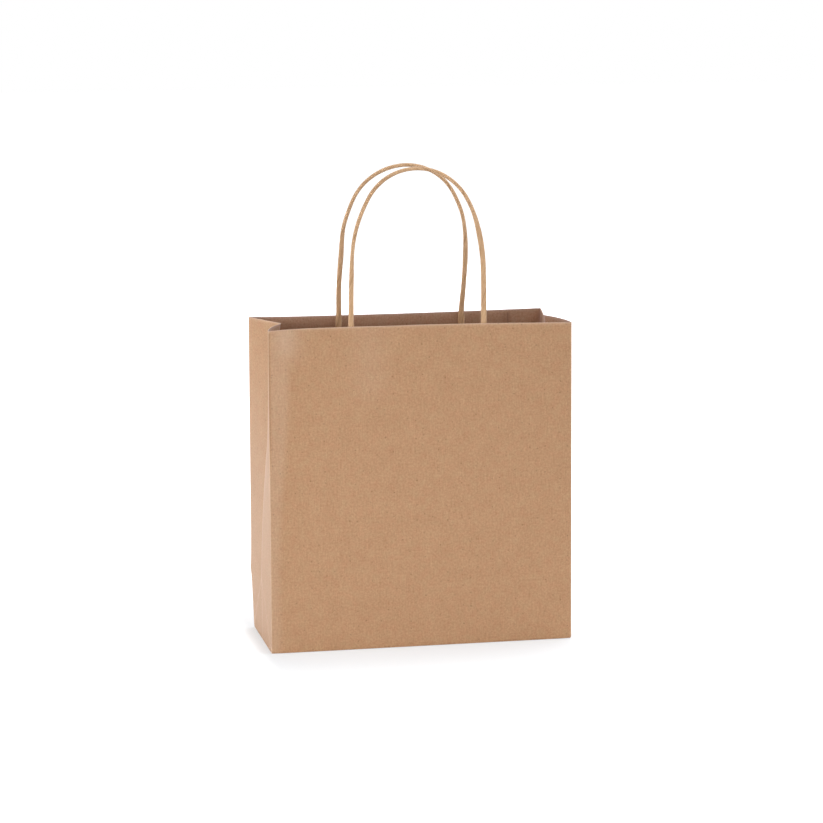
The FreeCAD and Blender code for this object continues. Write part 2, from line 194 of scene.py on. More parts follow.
def back_depth(x, z):
    """Where the back wall's outer face stands."""
    depth = HALF_DEPTH + (back_rim(x) - HALF_DEPTH) * z / HEIGHT
    crease = BACK_CREASE * np.exp(-np.abs(z - HALF_DEPTH) / BACK_CREASE_REACH)
    uneven = BACK_UNEVEN * waves(x, z, BACK_WAVE, BACK_PATTERN) * step(z, 0, BACK_UNEVEN_FROM)
    return depth + crease + uneven


def crest_in(z, at_rim):
    """How far a gusset's centre crease stands inside the end of the bag."""
    above = np.clip((z - GUSSET_START) / (HEIGHT - GUSSET_START), 0, 1)
    low = CREST_IN_AT_FOOT * np.clip(z / GUSSET_START, 0, 1)
    return low + (at_rim - low) * above**CREST_CURVE


def corner_x(z, which):
    """How far along the width an upright corner stands."""
    levels, distances = zip(*CORNERS_IN[which])
    inset = np.interp(z, levels, distances)
    if which == "back_left":
        inset = inset - BACK_KINK * math.exp(-abs(z - HALF_DEPTH) / BACK_KINK_REACH)
    end = -1 if which.endswith("left") else 1
    return end * (HALF_WIDTH - inset)


def wall_line(start, end, depth, z, places):
    """Points of a main wall's plan from one corner's x to the other's."""
    x = start + (end - start) * places
    beside = np.minimum(np.abs(x - start), np.abs(x - end))
    drawn_in = SHOULDER * np.exp(-beside / SHOULDER_REACH)
    y = depth(x, z)
    return np.stack([x, y - np.sign(y) * drawn_in], -1)


def bowed(start, end, places, bulge):
    """Points between two plan points on a line that swells to the right of its course."""
    course = end - start
    aside = np.array([course[1], -course[0]]) / np.linalg.norm(course)
    swell = bulge * 4 * places * (1 - places)
    return start + course * places[:, None] + swell[:, None] * aside


def eased(count, tight):
    """Places from 0 to 1 that crowd towards both ends."""
    even = np.linspace(0, 1, count)
    return (1 - tight) * even + tight * (1 - np.cos(math.pi * even)) / 2


def turned(before, corner, after, count):
    """The rounding of a crease between two plan points."""
    t = np.linspace(0, 1, count + 2)[1:-1, None]
    return (1 - t) ** 2 * before + 2 * t * (1 - t) * corner + t**2 * after


def trimmed(line, length, setback):
    """Places along a wall without the parts that its corner roundings take."""
    return setback[0] / length + line * (1 - (setback[0] + setback[1]) / length)


# Columns of points across a wall, half a gusset and the seam flap, and round a crease.
WALL = eased(72, 0.7)
HALF = eased(17, 0.5)
SEAM = eased(12, 0.5)
CORNER_POINTS = 5
CREST_POINTS = 7


def gusset(outer_a, outer_b, end, inset, back, bulge_a, bulge_b):
    """Both halves of a gusset with its rounded centre crease."""
    crest = np.array([(outer_a[0] + outer_b[0]) / 2 - end * inset, back])
    soft = CREASE_SETBACK + CREST_ROUNDING * inset
    first = bowed(outer_a, crest, trimmed(HALF, HALF_DEPTH, (CREASE_SETBACK, soft)), bulge_a)
    second = bowed(crest, outer_b, trimmed(HALF, HALF_DEPTH, (soft, CREASE_SETBACK)), bulge_b)
    return first, turned(first[-1], crest, second[0], CREST_POINTS), second


def plan(z):
    """The sheet's outer face in plan at one height, from the glued edge right round to
    the seam flap, and how many points each wall and crease has."""
    lift = z / HEIGHT
    fl = np.array([corner_x(z, "front_left"), 0.0])
    fr = np.array([corner_x(z, "front_right"), 0.0])
    bl = np.array([corner_x(z, "back_left"), 0.0])
    br = np.array([corner_x(z, "back_right"), 0.0])

    back_places = trimmed(WALL, WIDTH, (0, CREASE_SETBACK))
    back = wall_line(br[0] - BACK_EDGE_GAP, bl[0], back_depth, z, back_places)
    front_places = trimmed(WALL, WIDTH, (CREASE_SETBACK, CREASE_SETBACK))
    front = wall_line(fl[0], fr[0], front_depth, z, front_places)
    bl[1] = back[-1, 1] + CORNER_LIP
    fl[1] = front[0, 1] - CORNER_LIP
    fr[1] = front[-1, 1] - CORNER_LIP

    def seam_y(places):
        """The seam flap lies flat against the back wall's inner face."""
        return wall_line(br[0], bl[0], back_depth, z, places)[:, 1] - (PAPER + SEAM_GLUE)

    just_past_corner = np.array([0.004])
    seam_start = np.array([br[0], seam_y(just_past_corner)[0]])
    left = gusset(
        bl, fl, -1, crest_in(z, LEFT_CREST_IN), LEFT_CREST_BACK * lift,
        LEFT_SWELLS[0] * lift, LEFT_SWELLS[1] * lift**2,
    )
    right = gusset(
        fr, seam_start, 1, crest_in(z, RIGHT_CREST_IN), RIGHT_CREST_BACK * lift,
        RIGHT_SWELLS[0] * lift**2, RIGHT_SWELLS[1] * lift,
    )
    seam_x = seam_start[0] - trimmed(SEAM, SEAM_LAP, (CREASE_SETBACK, 0)) * (seam_start[0] - SEAM_END)
    seam = np.stack([seam_x, seam_y((br[0] - seam_x) / (br[0] - bl[0]))], -1)

    runs = [
        back,
        turned(back[-1], bl, left[0][0], CORNER_POINTS),
        *left,
        turned(left[2][-1], fl, front[0], CORNER_POINTS),
        front,
        turned(front[-1], fr, right[0][0], CORNER_POINTS),
        *right,
        turned(right[2][-1], seam_start, seam[0], CORNER_POINTS),
        seam,
    ]
    return np.vstack(runs), [len(run) for run in runs]


def heights():
    """Rows up the sheet, closer together at its creases and rim."""
    base = [0.25, 0.6, 1.1, 1.7, 2.3, 2.9, 3.8, 5.0, 7.0]
    foot = list(np.arange(9.5, 58, 2.5))
    body = list(np.arange(60, 222, 3.6))
    rim = [HEIGHT - below for below in (6.5, 4.5, 2.7, 1.5, 0.7, 0.25, 0.0)]
    return np.array(base + foot + body + rim)


def blank_places(counts):
    """Each column's u on the flat sheet."""
    lines = (
        (WIDTH, WALL), (HALF_DEPTH, HALF), (HALF_DEPTH, HALF), (WIDTH, WALL),
        (HALF_DEPTH, HALF), (HALF_DEPTH, HALF), (SEAM_LAP, SEAM),
    )
    u = []
    start = 0.0
    for number, (length, line) in enumerate(lines):
        u.append(start + CREASE_SETBACK + line * (length - 2 * CREASE_SETBACK))
        start += length
        if number < len(lines) - 1:
            u.append(np.linspace(start - CREASE_HALF, start + CREASE_HALF, counts[2 * number + 1]))
    return np.concatenate(u)


INNER_LAYER = 60.0      # the inner side takes its pattern from this far off, to be its own
SHARP_FOLD = 50         # degrees


def sheet_normals(face):
    """The way each point of a grid of points faces."""
    along = np.gradient(face, axis=1)
    up = np.gradient(face, axis=0)
    normal = np.cross(along, up)
    return normal / np.linalg.norm(normal, axis=2, keepdims=True)


def place_in_scene(name, mesh):
    """A new piece of the scene from a mesh."""
    piece = bpy.data.objects.new(name, mesh)
    bpy.context.scene.collection.objects.link(piece)
    return piece


def store_on_points(mesh, name, kind, values):
    """A value or a vector for each point of a mesh, for its material to read."""
    store = mesh.attributes.new(name, kind, "POINT")
    field = "vector" if kind == "FLOAT_VECTOR" else "value"
    store.data.foreach_set(field, values.astype(np.float32).ravel())


def add_sheet(name, face, places, outer_wear_and_light, inner_wear_and_light):
    """A sheet of paper from a grid of points on its outer face, in millimetres."""
    rows, columns = face.shape[:2]
    count = rows * columns
    inner_face = face - sheet_normals(face) * PAPER
    index = np.arange(count).reshape(rows, columns)
    quads = np.stack([index[:-1, :-1], index[:-1, 1:], index[1:, 1:], index[1:, :-1]], -1).reshape(-1, 4)
    ring = np.concatenate([index[0, :-1], index[:-1, -1], index[-1, :0:-1], index[:0:-1, 0]])
    after = np.roll(ring, -1)
    edge = np.stack([ring, ring + count, after + count, after], -1)
    polygons = np.vstack([quads, quads[:, ::-1] + count, edge])
    points = np.vstack([face.reshape(-1, 3), inner_face.reshape(-1, 3)]) / MM
    mesh = bpy.data.meshes.new(name)
    mesh.from_pydata(points.tolist(), [], polygons.tolist())
    mesh.polygons.foreach_set("use_smooth", np.ones(len(polygons), bool))
    mesh.set_sharp_from_angle(angle=math.radians(SHARP_FOLD))
    outer_places = np.dstack([places, np.zeros((rows, columns))]).reshape(-1, 3)
    inner_places = outer_places + (0, 0, INNER_LAYER)
    store_on_points(mesh, "sheet", "FLOAT_VECTOR", np.vstack([outer_places, inner_places]))
    store_on_points(mesh, "wear_and_painted_light", "FLOAT", np.append(outer_wear_and_light, inner_wear_and_light))
    return place_in_scene(name, mesh)


# Marks on the sheet, wear and painted light: how strong each is, from 0 to 1, how far from the front
# left corner it stands, how far it reaches and the heights between which it comes up.
BAND_HIGHLIGHT = 0.17              # painted highlight: a pale band beside the front left corner
BAND_HIGHLIGHT_MORE = 0.03         # and how much more at the rim
BAND_WIDTH = 6.5
BAND_WIDENS = 9.0
BAND_RISE = (60, 215)
CORD_END_HIGHLIGHT = 0.09             # painted highlight on the front wall over the glued end of its cord
CORD_END_HIGHLIGHT_PLACE = 74.0
CORD_END_HIGHLIGHT_REACH = 13.0
CORD_END_HIGHLIGHT_RISE = (PATCH_FOOT - 10, PATCH_FOOT + 12)
RIM_END_HIGHLIGHT = 0.38           # painted highlight at the left end of the front rim
RIM_END_HIGHLIGHT_PLACE = 13.0
RIM_END_HIGHLIGHT_REACH = 11.0
RIM_END_HIGHLIGHT_RISE = (196, 222)
PALE_CREASE = 0.8
PALE_CREASE_REACH = 2.2     # in columns of points
PALE_FOOT_CREASE = 0.35
PALE_FOOT_CREASE_REACH = 0.9
CREASE_SHADE_LINE = 0.9         # painted shade: the thin dark line beside the front left crease
CREASE_SHADE_PLACE = 1.0
CREASE_SHADE_REACH = 0.5
CREASE_SHADE_RISE = (120, 165)
CREASE_SHADE_STOP = 3.0    # it fades this far below the rim
SEAM_SHADOW_OUTSIDE = 0.15         # painted shadow on the back wall along the seam flap's free edge
SEAM_SHADOW_INSIDE = 0.7
SEAM_SHADOW_PLACE = 0.8            # past that edge
SEAM_SHADOW_REACH = 1.5
SEAM_EDGE_SHADE = (1.7, 0.9)     # how far from its free edge the seam flap's painted shade starts, and is full
PALE_RIM = 0.8              # the cut edge: paler, with a painted highlight along the rim
PALE_RIM_REACH = 0.7
PALE_RIM_HEIGHT = 1.6


def sheet_wear_and_light(u, v, counts):
    """Wear and painted light on the sheet's two sides: above 0 is pale wear and painted highlight, below 0 is
    painted shade.
    """
    up = v[:, None]
    along = u[None, :]
    front_left = WIDTH + DEPTH
    beside = along - front_left
    # Beside the front left corner a band is painted paler as a highlight, wider at the top.
    band = BAND_WIDTH + BAND_WIDENS * step(up, *BAND_RISE)
    pressed = BAND_HIGHLIGHT + BAND_HIGHLIGHT_MORE * step(up, 0, HEIGHT)
    wear_and_painted_light = pressed * step(beside, -0.5, 0.5) * step(beside, band + 4, band - 3)
    # A painted highlight makes the sheet a touch paler over the glued end of the front cord,
    # and more at the rim's left end.
    over_cord = bell(beside - CORD_END_HIGHLIGHT_PLACE, CORD_END_HIGHLIGHT_REACH) * step(up, *CORD_END_HIGHLIGHT_RISE)
    wear_and_painted_light = np.maximum(wear_and_painted_light, CORD_END_HIGHLIGHT * over_cord)
    rim_end_lit = bell(beside - RIM_END_HIGHLIGHT_PLACE, RIM_END_HIGHLIGHT_REACH) * step(up, *RIM_END_HIGHLIGHT_RISE)
    wear_and_painted_light = np.maximum(wear_and_painted_light, RIM_END_HIGHLIGHT * rim_end_lit * (beside > 0))
    # Every upright crease is pale: rubbed wear with a painted highlight along it.
    edges = np.cumsum([0] + counts)
    for run in range(1, len(counts), 2):
        middle = (edges[run] + edges[run + 1]) / 2
        spread = np.abs(np.arange(len(u)) - middle)
        wear_and_painted_light = np.maximum(wear_and_painted_light, PALE_CREASE * bell(spread, PALE_CREASE_REACH)[None, :])
    # Two creases rise from each gusset's foot corners and meet at its centre crease; they are painted pale,
    # as wear with a painted highlight.
    for crest in (WIDTH + HALF_DEPTH, front_left + WIDTH + HALF_DEPTH):
        away = np.abs(along - crest)
        slant = (away + up - GUSSET_START) / math.sqrt(2)
        foot_crease = bell(slant, PALE_FOOT_CREASE_REACH) * (up < GUSSET_START)
        wear_and_painted_light = np.maximum(wear_and_painted_light, PALE_FOOT_CREASE * foot_crease)
    # The upper part of the front left crease has a thin dark line of painted shade beside it, where the front
    # face begins.
    crease_shade = step(up, *CREASE_SHADE_RISE) * (1 - step(up, HEIGHT - CREASE_SHADE_STOP, HEIGHT))
    wear_and_painted_light = wear_and_painted_light - CREASE_SHADE_LINE * crease_shade * bell(beside - CREASE_SHADE_PLACE, CREASE_SHADE_REACH)
    # Painted shadow darkens the seam flap's free edge and the back wall along it, most on the inner side.
    wear_and_painted_light = wear_and_painted_light - step(along, u[-1] - SEAM_EDGE_SHADE[0], u[-1] - SEAM_EDGE_SHADE[1])
    seam_shadow_line = bell(along - SEAM_LAP - SEAM_SHADOW_PLACE, SEAM_SHADOW_REACH)

    sides = []
    for seam_shadow in (SEAM_SHADOW_OUTSIDE, SEAM_SHADOW_INSIDE):
        side = wear_and_painted_light - seam_shadow * seam_shadow_line
        # The rim's cut edge is pale: wear with a painted highlight.
        pale = np.maximum(side, PALE_RIM * np.exp(-(HEIGHT - up) / PALE_RIM_REACH))
        sides.append(np.where(up > HEIGHT - PALE_RIM_HEIGHT, pale, side))
    return sides


def make_shell():
    """The folded sheet: back wall, left gusset, front wall, right gusset, seam flap."""
    rows = heights()
    lines = []
    for z in rows:
        line, counts = plan(z)
        lines.append(line)
    face = np.array([np.column_stack([line, np.full(len(line), z)]) for line, z in zip(lines, rows)])

    # The foot of the wall leans in a little before it turns under.
    lean = FOOT_LEAN * np.clip(1 - rows / BASE_CREASE_DROP, 0, 1) ** 2
    face[:, :, 0] *= (1 - lean / HALF_WIDTH)[:, None]
    face[:, :, 1] *= (1 - lean / HALF_DEPTH)[:, None]
    z = face[:, :, 2]
    face[:, :, 2] = np.where(z < BASE_ROUND, BASE_ROUND + (z - BASE_ROUND) * FOOT_SQUEEZE, z)
    foot = face[0]
    foot_rows = []
    for angle in np.linspace(0, math.pi / 2, len(TURNED_ROWS))[:0:-1]:
        inward = BASE_ROUND * (1 - math.cos(angle))
        row = foot.copy()
        row[:, 0] *= 1 - inward / HALF_WIDTH
        row[:, 1] *= 1 - inward / HALF_DEPTH
        row[:, 2] = foot[0, 2] * (1 - math.sin(angle))
        foot_rows.append(row)
    tucked = foot_rows[0].copy()
    tucked[:, 0] *= 1 - TUCK / HALF_WIDTH
    tucked[:, 1] *= 1 - TUCK / HALF_DEPTH
    tucked[:, 2] = TUCK_HEIGHT
    face = np.concatenate([np.array([tucked] + foot_rows), face])

    u = blank_places(counts)
    v = np.concatenate([TURNED_ROWS, rows])
    outer_wear_and_light, inner_wear_and_light = sheet_wear_and_light(u, v, counts)
    return add_sheet("folded_kraft_sheet", face, np.dstack(np.meshgrid(u, v)), outer_wear_and_light, inner_wear_and_light)


FLAP_CLEARANCE = 0.6


def make_base_flap(flap):
    """A flap of the folded base, trimmed to stay inside the foot of the standing walls."""
    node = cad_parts[flap]
    mesh = node.data.copy()
    mesh.transform(node.matrix_world)
    foot_corners = (corner_x(0, "front_left"), corner_x(0, "back_left"))
    for vertex in mesh.vertices:
        x, y, z = (c * MM for c in vertex.co)
        foot_left = np.interp(y, (-HALF_DEPTH, HALF_DEPTH), foot_corners)
        x = min(max(x, foot_left + FLAP_CLEARANCE), HALF_WIDTH - FLAP_CLEARANCE)
        y = min(max(y, FLAP_CLEARANCE - HALF_DEPTH), HALF_DEPTH - FLAP_CLEARANCE)
        vertex.co = Vector((x, y, z)) / MM
    mesh.materials.clear()
    return place_in_scene(f"folded_{flap}", mesh)


# ---------------------------------------------------------------- materials

def srgb(code):
    """A hex colour as linear light."""
    parts = [int(code[i : i + 2], 16) / 255 for i in (1, 3, 5)]
    linear = [c / 12.92 if c <= 0.04045 else ((c + 0.055) / 1.055) ** 2.4 for c in parts]
    return (*linear, 1.0)


def add_node(tree, kind, settings=None, links=None):
    """One shader node with its settings and its incoming links."""
    node = tree.nodes.new(kind)
    for name, value in (settings or {}).items():
        if isinstance(name, str) and hasattr(node, name):
            setattr(node, name, value)
        else:
            node.inputs[name].default_value = value
    for name, source in (links or {}).items():
        tree.links.new(source, node.inputs[name])
    return node


def new_material(name):
    """An empty material and its node tree."""
    material = bpy.data.materials.new(name)
    material.use_nodes = True
    material.node_tree.nodes.clear()
    return material, material.node_tree


# Sizes of the paper's patterns in millimetres.
CLOT = 12.0                 # clots of fibre
WOOD_PATCH = 6.0            # patches of one wood's pulp
GRAIN = 1.5                 # single fibres are too fine to show, so it is drawn this coarse
STREAK_WIDTH = 0.7          # streaks that run with the paper machine
STREAK_LENGTH = 9.0
FLECK_SPACING = 5.5         # flecks of bark
FLECK_WAVE = 3.0            # their outlines waver over this length, by up to the next
FLECK_WAVER = (1.6, 1.6, 0.0)
RELIEF = 0.00012            # metres: how high the fibres stand

FLECK_BROWN = "#744B2A"
# pale of rubbed wear and of painted highlights
PALE_WEAR_AND_HIGHLIGHT = "#EAD3BF"
# painted shade in a crease and along the seam flap
PAINTED_SHADE_DARK = "#7D5A40"
# Factors on the paper's red, green and blue.
REDDER_WOOD = (1.07, 0.965, 0.98, 1.0)
GREENER_WOOD = (0.93, 1.035, 1.02, 1.0)
INNER_SIDE = (0.94, 0.97, 1.19, 1.0)    # a little greyer than the outer side


def kraft_paper(name, dark, light, on_sheet=True):
    """Unbleached machine-made kraft paper: a fine mottle of pressed fibres, faint upright
    machine streaks, small dark flecks of bark and a soft sheen with no gloss."""
    material, tree = new_material(name)
    if on_sheet:
        place = add_node(tree, "ShaderNodeAttribute", {"attribute_name": "sheet"}).outputs["Vector"]
    else:
        metres = add_node(tree, "ShaderNodeTexCoord").outputs["Object"]
        scaled = add_node(tree, "ShaderNodeMapping", {"Scale": (MM, MM, MM)}, {"Vector": metres})
        place = scaled.outputs[0]

    # The mottle: clots, grain and streaks added up.
    clots = add_node(
        tree, "ShaderNodeTexNoise", {"Scale": 1 / CLOT, "Detail": 3.0}, {"Vector": place}
    )
    grain = add_node(
        tree, "ShaderNodeTexNoise", {"Scale": 1 / GRAIN, "Detail": 4.0, "Roughness": 0.7},
        {"Vector": place},
    )
    drawn = add_node(
        tree, "ShaderNodeMapping", {"Scale": (1 / STREAK_WIDTH, 1 / STREAK_LENGTH, 1.0)},
        {"Vector": place},
    )
    streaks = add_node(
        tree, "ShaderNodeTexNoise", {"Scale": 1.0, "Detail": 2.0}, {"Vector": drawn.outputs[0]}
    )
    lined = add_node(
        tree, "ShaderNodeMath", {"operation": "MULTIPLY_ADD", 1: 0.35, 2: -0.05},
        {0: streaks.outputs["Fac"]},
    )
    grained = add_node(
        tree, "ShaderNodeMath", {"operation": "ADD"}, {0: grain.outputs["Fac"], 1: lined.outputs[0]}
    )
    mottle = add_node(
        tree, "ShaderNodeMath", {"operation": "MULTIPLY_ADD", 1: 0.22},
        {0: clots.outputs["Fac"], 2: grained.outputs[0]},
    )
    tone = add_node(
        tree, "ShaderNodeMapRange", {"From Min": 0.4, "From Max": 1.05}, {"Value": mottle.outputs[0]}
    )
    mottled = add_node(
        tree, "ShaderNodeMix", {"data_type": "RGBA", "A": srgb(dark), "B": srgb(light)},
        {"Factor": tone.outputs[0]},
    )

    # Pulp of several woods leaves patches a touch redder or greener.
    woods = add_node(
        tree, "ShaderNodeTexNoise", {"Scale": 1 / WOOD_PATCH, "Detail": 3.0, "Roughness": 0.6},
        {"Vector": place},
    )
    wood = add_node(
        tree, "ShaderNodeMix", {"data_type": "RGBA", "A": REDDER_WOOD, "B": GREENER_WOOD},
        {"Factor": woods.outputs["Fac"]},
    )
    tinted = add_node(
        tree, "ShaderNodeMix", {"data_type": "RGBA", "blend_type": "MULTIPLY", "Factor": 1.0},
        {"A": mottled.outputs["Result"], "B": wood.outputs["Result"]},
    )

    # Flecks of bark: a small dark spot in one out of three cells.
    waver = add_node(
        tree, "ShaderNodeTexNoise", {"Scale": 1 / FLECK_WAVE, "Detail": 1.0}, {"Vector": place}
    )
    wavering = add_node(
        tree, "ShaderNodeVectorMath", {"operation": "MULTIPLY_ADD", 1: FLECK_WAVER},
        {0: waver.outputs["Color"], 2: place},
    )
    cells = add_node(
        tree, "ShaderNodeTexVoronoi", {"voronoi_dimensions": "2D", "Scale": 1 / FLECK_SPACING},
        {"Vector": wavering.outputs[0]},
    )
    spot = add_node(
        tree, "ShaderNodeMapRange",
        {"From Min": 0.05, "From Max": 0.13, "To Min": 1.0, "To Max": 0.0},
        {"Value": cells.outputs["Distance"]},
    )
    lot = add_node(tree, "ShaderNodeSeparateColor", {}, {"Color": cells.outputs["Color"]})
    chosen = add_node(
        tree, "ShaderNodeMapRange", {"From Min": 0.65, "From Max": 1.0, "To Min": 0.0, "To Max": 0.5},
        {"Value": lot.outputs[0]},
    )
    flecks = add_node(
        tree, "ShaderNodeMath", {"operation": "MULTIPLY"}, {0: spot.outputs[0], 1: chosen.outputs[0]}
    )
    flecked = add_node(
        tree, "ShaderNodeMix", {"data_type": "RGBA", "B": srgb(FLECK_BROWN)},
        {"Factor": flecks.outputs[0], "A": tinted.outputs["Result"]},
    )
    colour = flecked.outputs["Result"]

    if on_sheet:
        # Marks up to 1 mix in the pale colour of wear and painted highlights, and down to -1 the dark colour
        # of painted shade.
        wear_and_light_marks = add_node(tree, "ShaderNodeAttribute", {"attribute_name": "wear_and_painted_light"}).outputs["Fac"]
        for full_mark, most, mark_colour in ((1.0, 0.65, PALE_WEAR_AND_HIGHLIGHT), (-1.0, 0.6, PAINTED_SHADE_DARK)):
            share = add_node(
                tree, "ShaderNodeMapRange", {"From Max": full_mark, "To Max": most}, {"Value": wear_and_light_marks}
            )
            marked = add_node(
                tree, "ShaderNodeMix", {"data_type": "RGBA", "B": srgb(mark_colour)},
                {"Factor": share.outputs[0], "A": colour},
            )
            colour = marked.outputs["Result"]
        layer = add_node(tree, "ShaderNodeSeparateXYZ", {}, {"Vector": place})
        inner = add_node(
            tree, "ShaderNodeMath", {"operation": "GREATER_THAN", 1: INNER_LAYER / 2},
            {0: layer.outputs["Z"]},
        )
        sided = add_node(
            tree, "ShaderNodeMix", {"data_type": "RGBA", "blend_type": "MULTIPLY", "B": INNER_SIDE},
            {"Factor": inner.outputs[0], "A": colour},
        )
        colour = sided.outputs["Result"]

    fibres = add_node(
        tree, "ShaderNodeMath", {"operation": "ADD"},
        {0: grain.outputs["Fac"], 1: streaks.outputs["Fac"]},
    )
    bump = add_node(
        tree, "ShaderNodeBump", {"Strength": 0.35, "Distance": RELIEF}, {"Height": fibres.outputs[0]}
    )
    surface = add_node(
        tree, "ShaderNodeBsdfPrincipled",
        {"Roughness": 0.55, "IOR": 1.45, "Sheen Weight": 0.15, "Sheen Roughness": 0.4},
        {"Base Color": colour, "Normal": bump.outputs[0]},
    )
    add_node(tree, "ShaderNodeOutputMaterial", {}, {"Surface": surface.outputs[0]})
    return material


# Sizes of the cord's patterns in millimetres.
CORD_FIBRE_WIDTH = 0.6
CORD_FIBRE_LENGTH = 14.0
CORD_BLOTCH = 5.0
CORD_RELIEF = 0.0002        # metres
CORD_DARK = "#C69B72"
CORD_LIGHT = "#DDB891"
# painted shade in the cord's furrows
CORD_FURROW_SHADE = "#8E6540"


def twisted_paper(name):
    """Paper ribbon twisted hard into cord: golden kraft with furrows between the turns,
    darkened with painted shade, and fine fibres that follow the twist."""
    material, tree = new_material(name)
    place = add_node(tree, "ShaderNodeAttribute", {"attribute_name": "lay"}).outputs["Vector"]
    furrow = add_node(tree, "ShaderNodeAttribute", {"attribute_name": "furrow"}).outputs["Fac"]
    drawn = add_node(
        tree, "ShaderNodeMapping",
        {"Scale": (1 / CORD_FIBRE_WIDTH, 1 / CORD_FIBRE_WIDTH, 1 / CORD_FIBRE_LENGTH)},
        {"Vector": place},
    )
    fibres = add_node(
        tree, "ShaderNodeTexNoise", {"Scale": 1.0, "Detail": 1.5, "Roughness": 0.4},
        {"Vector": drawn.outputs[0]},
    )
    blotches = add_node(
        tree, "ShaderNodeTexNoise", {"Scale": 1 / CORD_BLOTCH, "Detail": 2.0}, {"Vector": place}
    )
    mottle = add_node(
        tree, "ShaderNodeMath", {"operation": "MULTIPLY_ADD", 1: 0.45},
        {0: blotches.outputs["Fac"], 2: fibres.outputs["Fac"]},
    )
    tone = add_node(
        tree, "ShaderNodeMapRange", {"From Min": 0.35, "From Max": 1.1}, {"Value": mottle.outputs[0]}
    )
    turns = add_node(
        tree, "ShaderNodeMix", {"data_type": "RGBA", "A": srgb(CORD_DARK), "B": srgb(CORD_LIGHT)},
        {"Factor": tone.outputs[0]},
    )
    # Painted shade: the furrows are darkened towards their dark colour.
    furrow_shade = add_node(tree, "ShaderNodeMath", {"operation": "MULTIPLY", 1: 0.5}, {0: furrow})
    shaded = add_node(
        tree, "ShaderNodeMix", {"data_type": "RGBA", "B": srgb(CORD_FURROW_SHADE)},
        {"Factor": furrow_shade.outputs[0], "A": turns.outputs["Result"]},
    )
    bump = add_node(
        tree, "ShaderNodeBump", {"Strength": 0.1, "Distance": CORD_RELIEF},
        {"Height": fibres.outputs["Fac"]},
    )
    surface = add_node(
        tree, "ShaderNodeBsdfPrincipled",
        {"Roughness": 0.75, "IOR": 1.45, "Sheen Weight": 0.6, "Sheen Roughness": 0.35},
        {"Base Color": shaded.outputs["Result"], "Normal": bump.outputs[0]},
    )
    add_node(tree, "ShaderNodeOutputMaterial", {}, {"Surface": surface.outputs[0]})
    return material


KRAFT_DARK = "#A67851"
KRAFT_LIGHT = "#CFA47D"
kraft = kraft_paper("machine_made_kraft_paper", KRAFT_DARK, KRAFT_LIGHT)
kraft_base = kraft_paper("machine_made_kraft_paper_base", KRAFT_DARK, KRAFT_LIGHT, on_sheet=False)
patch_paper = kraft_paper("smooth_kraft_patch_paper", "#A97C5C", "#C79E80", on_sheet=False)
cord_paper = twisted_paper("twisted_kraft_cord")


# ---------------------------------------------------------------- handles

loop_low, loop_high = corners_of("front_cord_loop")
tail_low, tail_high = corners_of("front_cord_tail_left")
CORD_RADIUS = (loop_high[1] - loop_low[1]) / 2
HALF_BROAD = CORD_RADIUS * 1.3      # the twisted cord is a little oval
HALF_THIN = CORD_RADIUS * 0.9
TAIL_WIDE = (tail_high[0] - tail_low[0]) / 2
TAIL_THICK = 1.1                    # half of what the glued ends are pressed to
TAIL_FOOT = tail_low[2]
TAIL_GLUE = 0.25
TWIST_PITCH = 36.0
FOLDS = 4                           # folds of the paper ribbon that show round the cord
FOLD_WIDTHS = (0.2, 0.17)           # radians: of the deepest furrow and of the others
FURROW_DEPTH = 0.075                # of the radius
CORD_SIDES = 40
CORD_STEP = 0.7                     # between the rings of the cord's mesh
FREE_RISE = (4, 30)                 # heights above the rim between which its waver comes up
SIDEWAYS_WAVER = 0.14
DEPTH_WAVER = 0.35
PRESSED_RISE = (-6, 4)              # heights above the rim between which it turns round
PATTERN_GAP = 31                    # keeps the two cords' patterns apart
LAY_BLUR = 19                       # rings over which the oval's turn is evened out

# Each loop's outline, as in the source: legs, two long side arcs and a crown.
LOOPS = {
    "front": {"straight": 37.9, "side_radius": 110.5, "crown_radius": 39.7, "lean": 0.0, "sideways": 0.0},
    "back": {"straight": 49.3, "side_radius": 87.5, "crown_radius": 41.6, "lean": 9.0, "sideways": 0.7},
}
# How the oval cord lies along each loop: share of its length, and the turn of its broad side
# in degrees from lying across the loop.
LAYS = {
    "front": (
        (0.0, 0), (0.13, 6), (0.17, 22), (0.24, 34), (0.27, 72), (0.33, 88),
        (0.58, 92), (0.65, 120), (0.69, 180), (0.73, 216), (0.83, 214), (0.87, 186), (1.0, 180),
    ),
    "back": (
        (0.0, 0), (0.13, 4), (0.17, 14), (0.26, 22), (0.32, 56), (0.45, 84),
        (0.66, 92), (0.7, 122), (0.74, 158), (0.83, 162), (0.87, 176), (1.0, 180),
    ),
}
# Soft kinks that each leg keeps from its folding: side, height above the rim, sideways
# shift and reach.
KINKS = {
    "front": ((-1, 42, 0.65, 15), (-1, 28, 0.4, 30), (1, 47, -0.35, 15), (1, 80, 0.75, 16)),
    "back": (
        (-1, 52, 0.95, 15), (-1, 76, 0.45, 9), (-1, 0, 0.6, 12),
        (1, 48, 0.6, 15), (1, 34, 1.0, 13), (1, 73, 0.8, 12), (1, 18, 0.6, 11),
    ),
}


def tail_middle(name, end):
    """The x at which a cord's glued end stands."""
    low, high = corners_of(f"{name}_cord_tail_{end}")
    return (low[0] + high[0]) / 2


